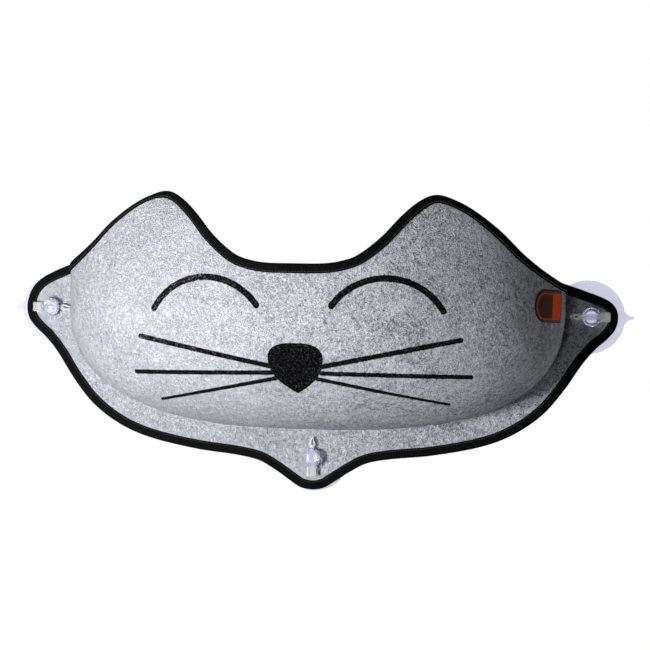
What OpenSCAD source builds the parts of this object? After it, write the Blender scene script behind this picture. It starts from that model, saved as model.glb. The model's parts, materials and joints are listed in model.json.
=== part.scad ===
// Window mounted cat perch: a moulded felt pouch on a flat felt panel, edged with tape,
// that three suction cups hold on the glass and three push pins lock to the cups.
// Millimetres. +Z is up, the glass is the plane Y = 0, and the pouch stands out towards -Y.
// The origin is the axis of the bottom suction cup, on the glass.

/* [Suction cup places] */
// Distance of each side cup's axis beyond the pouch's side
side_room = 27; // [25:1:60]
// Height of the side cups above the bottom cup
cup_rise = 158; // [145:1:170]

/* [Felt] */
// Thickness of the flat back felt
panel_t = 3; // [2:0.5:4]
// Thickness of the moulded front felt
shell_t = 3; // [2:0.5:4]
// Radius of the felt round each side cup
side_lobe_r = 28.5; // [26:0.5:32]
// Radius of the felt round the bottom cup
bottom_lobe_r = 35; // [33:0.5:37]
// Height of the middle of the back felt's top edge above the bottom cup
panel_top = 204; // [200:1:208]
// How far the felts' upper edges stand up at the left side cup, and drop at the right one
felt_skew = 9.5; // [0:0.5:10]

/* [Pouch] */
// Half of the pouch's width where it meets the flange
pouch_half_w = 268; // [230:1:300]
// Depth of the pouch in front of the flange
pouch_d = 195; // [150:5:220]
// Height of the pouch's floor above the bottom cup
floor_z = 31; // [28:1:40]
// Height at which the pouch reaches its full width
full_w_z = 172; // [160:1:176]
// Height at which the pouch reaches its full depth
full_d_z = 187; // [175:1:192]
// Height of the pouch's edge where it meets the panel
join_z = 197; // [194:1:199]
// Height of the middle of the mouth
mouth_z = 199; // [198:1:205]
// Height of the ear tips
ear_z = 268.5; // [240:0.5:280]
// How far the ear tips lean back towards the glass
ear_lean = 15; // [0:1:25]
// Power of the curve of the pouch's outline
outline_power = 2.7; // [2:0.1:3]
// Power of the curve of the pouch's belly
belly_power = 2.2; // [2:0.1:2.6]

/* [Edging tape] */
// Width of the tape on each side of an edge
tape_w = 8; // [6:0.5:10]
// Thickness of the tape
tape_t = 1; // [0.6:0.1:1.2]

/* [Suction cups] */
// Diameter of a cup's rim
cup_d = 80; // [70:1:84]
// Width of the flat ring that seals on the glass
seal_w = 4; // [3:0.5:6]
// Thickness of the cup's rim
rim_t = 1.2; // [0.8:0.1:2]
// Depth of the hollow under the cup when it is pressed on
hollow_h = 3.6; // [2:0.1:4]
// Diameter of the hub that the felt rests on
hub_d = 26; // [22:1:30]
// Height of the hub above the glass
hub_h = 14.7; // [13:0.1:16]
// Diameter of the neck that goes through the felt
neck_d = 14; // [12:0.5:16]
// Diameter of the knob
knob_d = 19.6; // [18:0.2:22]
// Thickness of the knob
knob_t = 5.8; // [4:0.2:7]
// Length of the pull tab beyond the rim
tab_l = 9.5; // [6:0.5:14]
// Width of the pull tab at its root
tab_w = 16; // [10:1:20]
// Thickness of the pull tab
tab_t = 1.4; // [1:0.1:2]
// Height of the pull tab's underside above the glass
tab_lift = 0.6; // [0.2:0.1:1]

/* [Locking pins] */
// Length of the block that the fingers hold
grip_l = 10.3; // [8:0.1:12]
// Width of that block
grip_w = 10.4; // [8:0.1:12]
// Thickness of that block
grip_t = 5.6; // [4:0.1:6]
// Distance from the cup's axis to the block
grip_start = 10; // [9.9:0.1:12]
// Width of the shank
shank_w = 4.3; // [3:0.1:5]
// Thickness of the shank and the barb
shank_t = 2.8; // [2:0.1:3.4]
// Width of the barb
barb_w = 7; // [6:0.1:7.6]
// Length of the barb
barb_l = 9.5; // [7:0.1:11]
// Distance from the cup's axis to the barb
barb_start = 12; // [10.5:0.1:14]

/* [Side label] */
// Length of the label round the pouch's side
label_w = 58; // [30:1:62]
// Height of the label
label_h = 32; // [20:1:40]
// Thickness of the label
label_t = 0.8; // [0.5:0.1:1.2]
// Height of the label's middle above the bottom cup
label_z = 167; // [160:1:170]
// Angle round the pouch at which the label's middle lies
label_angle = 66; // [50:1:70]

/* [Clearances] */
// Gap between the felt, its tape and what lies on it
soft_gap = 0.3; // [0.2:0.05:0.5]
// Gap between the pouch's edge and the tape folded over it
rim_gap = 0.45; // [0.4:0.05:0.6]
// Gap round a neck in its felt hole and round a barb in its slot
running_gap = 0.3; // [0.2:0.05:0.5]

/* [Hidden] */
$fn = 64;

// Distance of each side cup from the middle
side_cup_x = pouch_half_w + side_room;

// Places across the stack, as distances in front of the glass
panel_back = hub_h + soft_gap;
panel_front = panel_back + panel_t;
shell_back = panel_front + soft_gap;
shell_front = shell_back + shell_t;
tape_back = panel_back - soft_gap - tape_t;
tape_front = shell_front + soft_gap + tape_t;
pin_d = tape_front + soft_gap + grip_t / 2;
slot_t = shank_t + 2 * running_gap;
slot_w = barb_w + 2 * running_gap;
knob_wall = 0.8;
knob_base = pin_d + slot_t / 2 + knob_wall;
knob_top = knob_base + knob_t;
felt_hole_r = neck_d / 2 + running_gap;

// Counts of steps along curves, and powers by which the skew grows outwards and upwards
edge_steps = 4;
rim_steps = 3;
low_rows = 9;
high_rows = 8;
skew_out_power = 3;
skew_up_power = 1.5;
label_cols = 8;
label_rows = 4;

// Lower edge between the bottom lobe and a side lobe, as shares of side_cup_x and cup_rise
lower_edge_shares = [
    [0.136, -0.094], [0.200, -0.030], [0.288, 0.004], [0.441, 0.038], [0.610, 0.104],
    [0.729, 0.193], [0.831, 0.329], [0.908, 0.500], [0.973, 0.684], [1.020, 0.790]
];
// Upper edge from a side lobe to the top edge: share of side_cup_x, and share of the
// way from the side cup's height to the top edge
upper_edge_shares = [[0.980, 0.740], [0.922, 0.870], [0.847, 0.965], [0.760, 1.000]];
// Edge of the pouch from the middle of the mouth towards the join: share of a quarter turn
// round the pouch, and share of the height from the mouth to the ear tip
rim_shares = [
    [0, 0], [0.064, 0.006], [0.108, 0.052], [0.144, 0.145], [0.194, 0.391], [0.241, 0.698],
    [0.283, 0.909], [0.322, 1.000], [0.371, 0.942], [0.426, 0.813], [0.503, 0.580],
    [0.590, 0.294], [0.685, 0.104], [0.798, -0.007], [0.900, -0.030]
];
// Outline of a cup's outer side: share of the rim's radius, share of the hub's height
bell_shares = [[0.95, 0.12], [0.82, 0.22], [0.67, 0.42], [0.50, 0.71], [0.40, 0.90]];
// Outline of a cup's hollow: share of the seal's inner radius, share of the hollow's depth
hollow_shares = [[0.85, 0.40], [0.55, 0.80], [0.25, 0.98]];
// Outline of the knob: share of its radius, share of its thickness
knob_shares = [[0.92, 0], [1, 0.14], [1, 0.62], [0.93, 0.82], [0.78, 0.94], [0.55, 1]];
// Outline of the pull tab: share of its length, share of its half width
tab_shares = [[0, 1], [0.12, 0.62], [0.35, 0.36], [0.65, 0.22], [0.92, 0.15], [1, 0.06]];
// Outline of the barb: share of its length, share of its half width
barb_shares = [[0, 1], [0.30, 0.93], [0.85, 0.45], [1, 0.28]];
// Slit that lets the barb squeeze shut: start and end along it, and its share of the width
slit_share = [0.16, 0.80, 0.30];
// Corner radius and recess of the block, as shares of its width and thickness
grip_round_share = 0.16;
grip_recess_share = 0.5;
grip_recess_t_share = 0.18;

// Points of a smooth curve through p, with n steps between neighbours
function along(a, b, c, d, t) =
    ((2 * b) + (c - a) * t + (2 * a - 5 * b + 4 * c - d) * t * t
        + (3 * b - a - 3 * c + d) * t * t * t) / 2;
function smooth(p, n) = [
    for (i = [0 : len(p) - 2], s = [0 : n - 1])
        along(p[max(i - 1, 0)], p[i], p[i + 1], p[min(i + 2, len(p) - 1)], s / n),
    p[len(p) - 1]
];
function mirrored(p) = [for (i = [len(p) - 1 : -1 : 0]) [-p[i][0], p[i][1]]];
function unit(v) = v / norm(v);
function both_sides(half) = concat(mirrored([for (i = [1 : len(half) - 1]) half[i]]), half);
function arc(c, r, from, to, steps) = [
    for (i = [0 : steps])
        let (a = from + (to - from) * i / steps) c + r * [cos(a), sin(a)]
];

// Right half of the panel's outline, from under the bottom cup to the start of the top edge
half_outline = concat(
    arc([0, 0], bottom_lobe_r, -90, -48, 2),
    [for (s = lower_edge_shares) [s[0] * side_cup_x, s[1] * cup_rise]],
    arc([side_cup_x, cup_rise], side_lobe_r, -50, 62, 4),
    [for (s = upper_edge_shares)
        [s[0] * side_cup_x, cup_rise + s[1] * (panel_top - cup_rise)]]
);
// Height of a point after the skew, which starts above the side cups' axes
function skewed(x, z) = z - felt_skew * pow(x / side_cup_x, skew_out_power)
    * pow(min(1, max(0, (z - cup_rise) / (join_z - cup_rise))), skew_up_power);
outline = [
    for (p = smooth(both_sides(half_outline), edge_steps)) [p[0], skewed(p[0], p[1])]
];
outline_count = len(outline);
function outline_point(i) = outline[(i + outline_count) % outline_count];
function grown(d) = [
    for (i = [0 : outline_count - 1])
        let (t = unit(outline_point(i + 1) - outline_point(i - 1)))
            outline_point(i) + d * [t[1], -t[0]]
];

// Surface of the pouch: angle round it from the middle, height, and inset from its outside
function rounded(s, power) = pow(max(0, 1 - pow(min(s, 1), power)), 1 / power);
function below(z, top, inset) = max(0, (top - z) / (top - floor_z - inset));
function half_width(z, inset) =
    (pouch_half_w - inset) * rounded(below(z, full_w_z, inset), outline_power);
function above(z) = max(0, (z - full_d_z) / (ear_z - full_d_z));
function lean(z) = ear_lean * pow(above(z), 2);
function lean_slope(z) = 2 * ear_lean * above(z) / (ear_z - full_d_z);
function depth(z, inset) =
    (pouch_d - inset) * rounded(below(z, full_d_z, inset), belly_power) - lean(z);
function on_pouch(a, z, inset) = [
    half_width(z, inset) * sin(a),
    -shell_front - depth(z, inset) * cos(a),
    z
];
// A height on the way up from the floor, with close steps where the surface turns
function low_z(share, inset) =
    full_w_z - (full_w_z - floor_z - inset) * pow(cos(90 * share), 2 / outline_power);

// Edge of the pouch, as angle and height, from the left join to the right join
half_rim = concat(
    [for (s = rim_shares) [s[0] * 90, mouth_z + s[1] * (ear_z - mouth_z)]],
    [[90, join_z]]
);
rim = [
    for (p = smooth(both_sides(half_rim), rim_steps))
        [p[0], skewed(half_width(p[1], 0) * sin(p[0]), p[1])]
];

// Crease where the pouch leaves the flange, inset towards its inside
function crease(inset) = [
    for (i = [-2 * low_rows : 2 * low_rows])
        let (z = low_z(abs(i) / (2 * low_rows), inset))
            [sign(i) * half_width(z, inset), z]
];

// Turns a flat drawing of X and height so that it grows out from the glass
module facing(d = 0) {
    translate([0, -d, 0])
        rotate([90, 0, 0])
            children();
}

// Puts a cup or a pin, drawn with its pin's grip towards +X, in its place
module at_cup(x, z, turn) {
    translate([x, 0, z])
        facing()
            rotate([0, 0, turn])
                children();
}

module felt_holes() {
    translate([-side_cup_x, cup_rise])
        circle(felt_hole_r);
    translate([side_cup_x, cup_rise])
        circle(felt_hole_r);
    circle(felt_hole_r);
}

module back_panel() {
    color("#a9abb4")
        facing(panel_back)
            linear_extrude(panel_t)
                difference() {
                    polygon(grown(0));
                    felt_holes();
                }
}

// Flat rim of the front felt: the panel's outline outside the crease
module flange() {
    mid_wall = shell_t / 2;
    facing(shell_back)
        linear_extrude(shell_t)
            difference() {
                polygon(grown(0));
                polygon(concat(crease(mid_wall), [
                    [pouch_half_w - mid_wall, ear_z],
                    [mid_wall - pouch_half_w, ear_z]
                ]));
                felt_holes();
            }
}

// Closed solid between the outer and the inner surface of the pouch
module pouch() {
    rows = low_rows + high_rows;
    cols = len(rim) + 1;
    foot = (shell_front - shell_back) / 2;
    function z_at(row, top, inset) = row <= low_rows
        ? low_z(row / low_rows, inset)
        : full_w_z + (top - full_w_z) * (row - low_rows) / high_rows;
    // The inner edge lies lower where the wall leans, so that the edge is square to the wall
    function point(col, row, inset) =
        let (c = min(max(col - 1, 0), len(rim) - 1))
        let (top = rim[c][1] - inset * lean_slope(rim[c][1]) * cos(rim[c][0]))
        let (p = on_pouch(rim[c][0], z_at(row, top, inset), inset))
            (col == 0 || col == cols) ? p + [0, foot, 0] : p;
    side = (rows + 1) * (cols + 1);
    points = [
        for (inset = [0, shell_t], row = [0 : rows], col = [0 : cols]) point(col, row, inset)
    ];
    // The lowest row is one point, and behind it one point of the foot
    function id(layer, row, col) = layer * side
        + (row > 0 ? row * (cols + 1) + col : (col == 0 || col == cols) ? 0 : 1);
    function quad(a, b, c, d) = [
        for (f = [[a, b, c], [a, c, d]]) if (f[0] != f[1] && f[1] != f[2] && f[2] != f[0]) f
    ];
    outer = [for (r = [0 : rows - 1], c = [0 : cols - 1], f = quad(
        id(0, r, c), id(0, r + 1, c), id(0, r + 1, c + 1), id(0, r, c + 1))) f];
    inner = [for (r = [0 : rows - 1], c = [0 : cols - 1], f = quad(
        id(1, r, c), id(1, r, c + 1), id(1, r + 1, c + 1), id(1, r + 1, c))) f];
    top = [for (c = [0 : cols - 1], f = quad(
        id(0, rows, c), id(1, rows, c), id(1, rows, c + 1), id(0, rows, c + 1))) f];
    left = [for (r = [0 : rows - 1], f = quad(
        id(0, r, 0), id(1, r, 0), id(1, r + 1, 0), id(0, r + 1, 0))) f];
    right = [for (r = [0 : rows - 1], f = quad(
        id(0, r, cols), id(0, r + 1, cols), id(1, r + 1, cols), id(1, r, cols))) f];
    polyhedron(points, concat(outer, inner, top, left, right));
}

module front_shell() {
    color("#bfc1ca")
        union() {
            flange();
            pouch();
        }
}

// Band of tape in the drawing of the panel, from inside to outside its outline
module tape_band(inside) {
    difference() {
        polygon(grown(soft_gap + tape_t));
        polygon(grown(inside));
    }
}

// Discs round the cups' axes that the tape behind the felt is trimmed to, clear of the hubs
module hub_room() {
    r = (bell_shares[len(bell_shares) - 1][0] * cup_d / 2) + soft_gap;
    for (x = [-side_cup_x, side_cup_x])
        translate([x, cup_rise])
            circle(r);
    circle(r);
}

// Part of the drawing above the pouch's full width, as wide as half on each side
module top_part(half) {
    translate([-half, full_w_z])
        square([2 * half, panel_top]);
}

// Tape folded round both felts, and along the top edge round the back felt alone
module edge_binding() {
    top_half = pouch_half_w - shell_t - soft_gap;
    low_half = pouch_half_w + soft_gap;
    top_front = panel_front + soft_gap + tape_t;
    color("#17171a")
        union() {
            facing(tape_back)
                linear_extrude(tape_t)
                    difference() {
                        tape_band(-tape_w);
                        hub_room();
                    }
            facing(tape_back)
                linear_extrude(top_front - tape_back)
                    tape_band(soft_gap);
            facing(tape_back)
                linear_extrude(tape_front - tape_back)
                    difference() {
                        tape_band(soft_gap);
                        top_part(low_half);
                    }
            facing(tape_front - tape_t)
                linear_extrude(tape_t)
                    difference() {
                        tape_band(-tape_w);
                        top_part(low_half);
                    }
            facing(top_front - tape_t)
                linear_extrude(tape_t)
                    intersection() {
                        tape_band(-tape_w);
                        top_part(top_half);
                    }
        }
}

// Tape folded over the pouch's edge: a U that follows the edge from join to join
module rim_binding() {
    probe = 0.05;
    step = 0.5;
    out = rim_gap + tape_t;
    back = shell_t + rim_gap;
    section = [
        [out, -tape_w], [out, out], [-back - tape_t, out], [-back - tape_t, -tape_w],
        [-back, -tape_w], [-back, rim_gap], [rim_gap, rim_gap], [rim_gap, -tape_w]
    ];
    // The tape starts and ends just in front of the panel's own tape
    start_depth = tape_front + soft_gap - shell_front + tape_t;
    start_angle = acos(start_depth / depth(join_z, 0));
    inner_rim = [for (p = rim) if (abs(p[0]) < start_angle - step) p];
    left_join = rim[0][1];
    right_join = rim[len(rim) - 1][1];
    stations = concat([[-start_angle, left_join]], inner_rim, [[start_angle, right_join]]);
    last = len(stations) - 1;
    function here(i) = on_pouch(stations[i][0], stations[i][1], 0);
    function normal(a, z) = unit(cross(
        on_pouch(a + step, z, 0) - on_pouch(a - step, z, 0),
        on_pouch(a, z + probe, 0) - on_pouch(a, z - probe, 0)));
    function upward(i, n) = cross(n, unit(here(min(i + 1, last)) - here(max(i - 1, 0))));
    rings = [
        for (i = [0 : last])
            let (n = normal(stations[i][0], stations[i][1]))
            let (up = upward(i, n))
                for (s = section) here(i) + s[0] * n + s[1] * up
    ];
    count = len(section);
    sides = [
        for (i = [0 : last - 1], k = [0 : count - 1])
            let (a = i * count + k, b = i * count + (k + 1) % count)
                for (f = [[a, b + count, a + count], [a, b, b + count]]) f
    ];
    function cap(o, q) = [[q[0] + o, q[2] + o, q[1] + o], [q[0] + o, q[3] + o, q[2] + o]];
    cap_quads = [[0, 1, 6, 7], [1, 2, 5, 6], [2, 3, 4, 5]];
    first_cap = [for (q = cap_quads, f = cap(0, q)) f];
    end_cap = [for (q = cap_quads, f = cap(last * count, [q[3], q[2], q[1], q[0]])) f];
    color("#17171a")
        polyhedron(rings, concat(sides, first_cap, end_cap));
}

// Plain woven label on the pouch's right side, bent as the felt is
module side_label() {
    degree = PI / 180;
    per_degree = degree * norm([
        half_width(label_z, 0) * cos(label_angle),
        depth(label_z, 0) * sin(label_angle)
    ]);
    span = label_w / per_degree;
    cols = label_cols;
    rows = label_rows;
    function place(c, r, inset) = on_pouch(
        label_angle + span * (c / cols - 0.5), label_z + label_h * (r / rows - 0.5), inset);
    points = [
        for (inset = [-soft_gap - label_t, -soft_gap], r = [0 : rows], c = [0 : cols])
            place(c, r, inset)
    ];
    layer = (rows + 1) * (cols + 1);
    function id(k, r, c) = k * layer + r * (cols + 1) + c;
    function quad(a, b, c, d) = [[a, b, c], [a, c, d]];
    faces = concat(
        [for (r = [0 : rows - 1], c = [0 : cols - 1], f = concat(
            quad(id(0, r, c), id(0, r + 1, c), id(0, r + 1, c + 1), id(0, r, c + 1)),
            quad(id(1, r, c), id(1, r, c + 1), id(1, r + 1, c + 1), id(1, r + 1, c)))) f],
        [for (c = [0 : cols - 1], f = concat(
            quad(id(0, 0, c), id(0, 0, c + 1), id(1, 0, c + 1), id(1, 0, c)),
            quad(id(0, rows, c), id(1, rows, c), id(1, rows, c + 1), id(0, rows, c + 1)))) f],
        [for (r = [0 : rows - 1], f = concat(
            quad(id(0, r, 0), id(1, r, 0), id(1, r + 1, 0), id(0, r + 1, 0)),
            quad(id(0, r, cols), id(0, r + 1, cols), id(1, r + 1, cols), id(1, r, cols)))) f]
    );
    color("#c4542b")
        polyhedron(points, faces);
}

// One moulded cup: seal ring, bell, hub, slotted neck, knob and pull tab
module suction_cup() {
    rim_r = cup_d / 2;
    seal_r = rim_r - seal_w;
    profile = concat(
        [[seal_r, 0], [rim_r, 0], [rim_r, rim_t]],
        [for (s = bell_shares) [s[0] * rim_r, s[1] * hub_h]],
        [[hub_d / 2, hub_h], [neck_d / 2, hub_h], [neck_d / 2, knob_base]],
        [for (s = knob_shares) [s[0] * knob_d / 2, knob_base + s[1] * knob_t]],
        [[0, knob_top], [0, hollow_h]],
        [for (i = [len(hollow_shares) - 1 : -1 : 0])
            [hollow_shares[i][0] * seal_r, hollow_shares[i][1] * hollow_h]]
    );
    half_tab = [for (s = tab_shares) [rim_r + (s[0] * tab_l), s[1] * tab_w / 2]];
    color("#dcdcf2")
        difference() {
            union() {
                rotate_extrude()
                    polygon(profile);
                translate([0, 0, tab_lift])
                    linear_extrude(tab_t)
                        polygon(concat(
                            [[rim_r - seal_w / 2, -tab_w / 2]],
                            [for (p = half_tab) [p[0], -p[1]]],
                            [for (i = [len(half_tab) - 1 : -1 : 0]) half_tab[i]],
                            [[rim_r - seal_w / 2, tab_w / 2]]
                        ));
            }
            translate([-neck_d, -slot_w / 2, pin_d - slot_t / 2])
                cube([2 * neck_d, slot_w, slot_t]);
        }
}

// Flat moulded pin: grip block with a recess on each face, shank, and split barb
module locking_pin() {
    r = grip_round_share * grip_w;
    recess_w = grip_recess_share * grip_w;
    recess_l = grip_recess_share * grip_l;
    recess_t = grip_recess_t_share * grip_t;
    grip_mid = grip_start + grip_l / 2;
    half_barb = [for (s = barb_shares) [-barb_start - s[0] * barb_l, s[1] * barb_w / 2]];
    slit_start = barb_start + slit_share[0] * barb_l;
    slit_l = (slit_share[1] - slit_share[0]) * barb_l;
    slit_w = slit_share[2] * barb_w;
    color("#e4e6e8")
        translate([0, 0, pin_d]) {
            difference() {
                translate([0, 0, -grip_t / 2])
                    linear_extrude(grip_t)
                        translate([grip_mid, 0])
                            rounded_square(grip_l, grip_w, r);
                for (side = [-1, 1])
                    translate([grip_mid, 0, side * grip_t / 2])
                        cube([recess_l, recess_w, 2 * recess_t], center = true);
            }
            translate([-barb_start, -shank_w / 2, -shank_t / 2])
                cube([barb_start + grip_start + r, shank_w, shank_t]);
            difference() {
                translate([0, 0, -shank_t / 2])
                    linear_extrude(shank_t)
                        polygon(concat(
                            [for (p = half_barb) p],
                            [for (i = [len(half_barb) - 1 : -1 : 0])
                                [half_barb[i][0], -half_barb[i][1]]]
                        ));
                translate([-slit_start - slit_l, -slit_w / 2, -shank_t])
                    cube([slit_l, slit_w, 2 * shank_t]);
            }
        }
}

module rounded_square(l, w, r) {
    for (x = [-1, 1], y = [-1, 1])
        translate([x * (l / 2 - r), y * (w / 2 - r)])
            circle(r);
    square([l - 2 * r, w], center = true);
    square([l, w - 2 * r], center = true);
}

module suction_cup_left() {
    at_cup(-side_cup_x, cup_rise, 180)
        suction_cup();
}

module suction_cup_right() {
    at_cup(side_cup_x, cup_rise, 0)
        suction_cup();
}

// The bottom cup's pull tab points up behind the felt, and its pin is pushed in from below
module suction_cup_bottom() {
    at_cup(0, 0, 90)
        suction_cup();
}

module locking_pin_left() {
    at_cup(-side_cup_x, cup_rise, 180)
        locking_pin();
}

module locking_pin_right() {
    at_cup(side_cup_x, cup_rise, 0)
        locking_pin();
}

module locking_pin_bottom() {
    at_cup(0, 0, -90)
        locking_pin();
}

back_panel();
front_shell();
edge_binding();
rim_binding();
side_label();
suction_cup_left();
suction_cup_right();
suction_cup_bottom();
locking_pin_left();
locking_pin_right();
locking_pin_bottom();
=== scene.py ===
"""Window mounted cat perch: a moulded felt pouch on a flat felt panel, edged with sewn tape,
with a printed cat's face, a woven label, three suction cups and three push pins."""

import json
import math

import bpy
import numpy as np
from bpy.props import FloatProperty, FloatVectorProperty, IntProperty, PointerProperty
from mathutils import Matrix, Vector, geometry, kdtree, noise


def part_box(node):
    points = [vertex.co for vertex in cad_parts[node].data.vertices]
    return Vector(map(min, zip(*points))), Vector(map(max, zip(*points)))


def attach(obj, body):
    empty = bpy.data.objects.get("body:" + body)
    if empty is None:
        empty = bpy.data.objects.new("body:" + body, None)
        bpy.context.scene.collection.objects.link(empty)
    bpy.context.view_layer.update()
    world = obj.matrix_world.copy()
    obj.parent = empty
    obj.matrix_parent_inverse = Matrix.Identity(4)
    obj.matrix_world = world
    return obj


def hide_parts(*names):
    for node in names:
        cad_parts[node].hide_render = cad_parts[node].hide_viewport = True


bl_info = {
    "name": "Window cat perch",
    "version": (1, 0, 0),
    "blender": (4, 5, 0),
    "location": "View3D > Sidebar > Perch",
    "description": "Builds a felt window perch around its fixed frame",
    "category": "Object",
}

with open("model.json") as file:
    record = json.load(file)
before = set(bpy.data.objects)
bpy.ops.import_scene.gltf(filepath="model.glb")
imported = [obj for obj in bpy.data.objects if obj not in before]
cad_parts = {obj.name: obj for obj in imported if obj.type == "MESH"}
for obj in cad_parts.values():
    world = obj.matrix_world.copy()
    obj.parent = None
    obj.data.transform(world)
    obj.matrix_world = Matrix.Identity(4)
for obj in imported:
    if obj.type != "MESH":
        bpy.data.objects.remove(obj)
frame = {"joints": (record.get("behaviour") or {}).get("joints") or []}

# Places that the frame gives, in metres
CUP_PLACES = {
    j["child"]: Vector(j["pos_m"]) for j in frame["joints"] if j["type"] == "hinge"
}
SIDE_CUP_X = CUP_PLACES["right_cup"].x
CUP_RISE = CUP_PLACES["right_cup"].z
PANEL_FRONT = -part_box("back_panel")[0].y
PANEL_BACK = -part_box("back_panel")[1].y
SHELL_BACK = -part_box("front_shell")[1].y
SHELL_T = PANEL_FRONT - PANEL_BACK
SHELL_FRONT = SHELL_BACK + SHELL_T
PIN_DEPTH = -(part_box("locking_pin_right")[0].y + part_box("locking_pin_right")[1].y) / 2
KNOB_TOP = -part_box("suction_cup_right")[0].y

# Lower edge of the felts from the bottom lobe to a side lobe, as shares of the side cups' places
LOWER_EDGE_SHARES = [
    (0.136, -0.094), (0.200, -0.030), (0.288, 0.004), (0.441, 0.038), (0.610, 0.104),
    (0.729, 0.193), (0.831, 0.329), (0.908, 0.500), (0.973, 0.684), (1.020, 0.790),
]
# Upper edge from a side lobe to the top edge: share of the cup's X, share of the way up to the top
UPPER_EDGE_SHARES = [(0.980, 0.740), (0.922, 0.870), (0.847, 0.965), (0.760, 1.000)]
# Edge of the pouch: share of a quarter turn from the middle, share of the way up to the ear tip
RIM_SHARES = [
    (0, 0), (0.064, 0.006), (0.108, 0.052), (0.144, 0.145), (0.194, 0.391), (0.241, 0.698),
    (0.283, 0.909), (0.322, 1.000), (0.371, 0.942), (0.426, 0.813), (0.503, 0.580),
    (0.590, 0.294), (0.685, 0.104), (0.798, -0.007), (0.900, -0.030),
]
# Outside of a folded tape from its front edge round to its back edge: share of its width below the
# felt's edge (or of its rise beyond it), share of the way from the back to the front, share of its rise
TAPE_OUTSIDE_SHARES = [
    (-1.00, 1, 0.56), (-0.96, 1, 0.80), (-0.82, 1, 0.80), (-0.62, 1, 0.96), (-0.32, 1, 1.00),
    (-0.10, 1, 0.97), (0.25, 1, 0.74), (0.75, 1, 0.26), (1.00, 0.75, 0.00), (1.00, 0.25, 0.00),
    (0.75, 0, -0.26), (0.25, 0, -0.74), (-0.10, 0, -0.97), (-0.32, 0, -1.00),
    (-0.62, 0, -0.96), (-0.82, 0, -0.80), (-0.96, 0, -0.80), (-1.00, 0, -0.56),
]
# The same for its inside, from the back edge to the front edge
TAPE_INSIDE_SHARES = [
    (-1.00, 0, -0.12), (-0.82, 0, -0.10), (-0.32, 0, -0.24), (-0.02, 0, -0.20),
    (0.26, 0.15, 0.00), (0.26, 0.85, 0.00), (-0.02, 1, 0.20), (-0.32, 1, 0.24),
    (-0.82, 1, 0.10), (-1.00, 1, 0.12),
]
# Width of the tape on each side of the pouch's edge: angle round the pouch in degrees, width in metres
RIM_TAPE_WIDTHS = [
    (-90, 0.0072), (-68, 0.0080), (-50, 0.0050), (-34, 0.0043), (-27, 0.0068), (0, 0.0080),
    (27, 0.0076), (36, 0.0072), (48, 0.0084), (62, 0.0072), (90, 0.0068),
]
# A stitch along its length: place, height and thickness as shares of its length and radius
STITCH_SHARES = [
    (-0.50, -1.2, 0.7), (-0.36, 0.1, 1.0), (0.0, 0.5, 1.0), (0.36, 0.1, 1.0), (0.50, -1.2, 0.7),
]
# Whiskers of the printed face: outer and inner end as X and Z, and half the width at each, in metres
WHISKERS = [
    ((0.155, 0.131), (0.025, 0.1045), 0.0026, 0.0025),
    ((0.166, 0.095), (0.024, 0.098), 0.0023, 0.0023),
    ((0.1455, 0.0665), (0.020, 0.0925), 0.0015, 0.0021),
]
# Back of a suction cup from its rim to its hub: share of the rim's radius, share of the hub's height
BELL_SHARES = [(0.95, 0.12), (0.82, 0.22), (0.67, 0.42), (0.50, 0.71), (0.40, 0.90)]
# Hollow under a cup from its middle to its seal: share of the seal's inner radius, share of its depth
HOLLOW_SHARES = [(0, 1), (0.25, 0.98), (0.55, 0.80), (0.85, 0.40), (1, 0)]
# Side of a knob from the neck outwards: share of its radius, share of its thickness
KNOB_SIDE_SHARES = [(0.92, 0), (1, 0.14), (1, 0.62), (0.95, 0.86)]
# Face of a knob from its edge to its middle: share of its radius, share of its dish's depth
KNOB_FACE_SHARES = [(0.85, 0), (0.74, 0.1), (0.64, 0.85), (0.45, 1), (0.20, 0.8), (0, 0.55)]
# Half of a pull tab from its root to its tip: share of its length beyond the rim, share of its width
TAB_SHARES = [(0.12, 0.31), (0.35, 0.18), (0.65, 0.11), (0.92, 0.075), (1, 0.03)]
# Half of a barb from the shank to its tip: share of its length, share of its width
BARB_SHARES = [(0, 1), (0.3, 0.93), (0.85, 0.45), (1, 0.28)]
# Height of a row of even triangles, as a share of their sides
ROW_SHARE = 0.866
WEAVE_MAP = "Weave"


def length(name, text, default):
    """A property that holds a length in metres."""
    return FloatProperty(name=name, description=text, default=default, unit="LENGTH", precision=5)


def number(name, text, default):
    """A property that holds a plain number."""
    return FloatProperty(name=name, description=text, default=default)


def rotation(name, text, degrees):
    """A property that holds an angle."""
    return FloatProperty(name=name, description=text, default=math.radians(degrees), unit="ROTATION")


def colour(name, text, default):
    """A property that holds a colour."""
    return FloatVectorProperty(
        name=name, description=text, default=default, subtype="COLOR", size=3, min=0, max=1
    )


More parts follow.
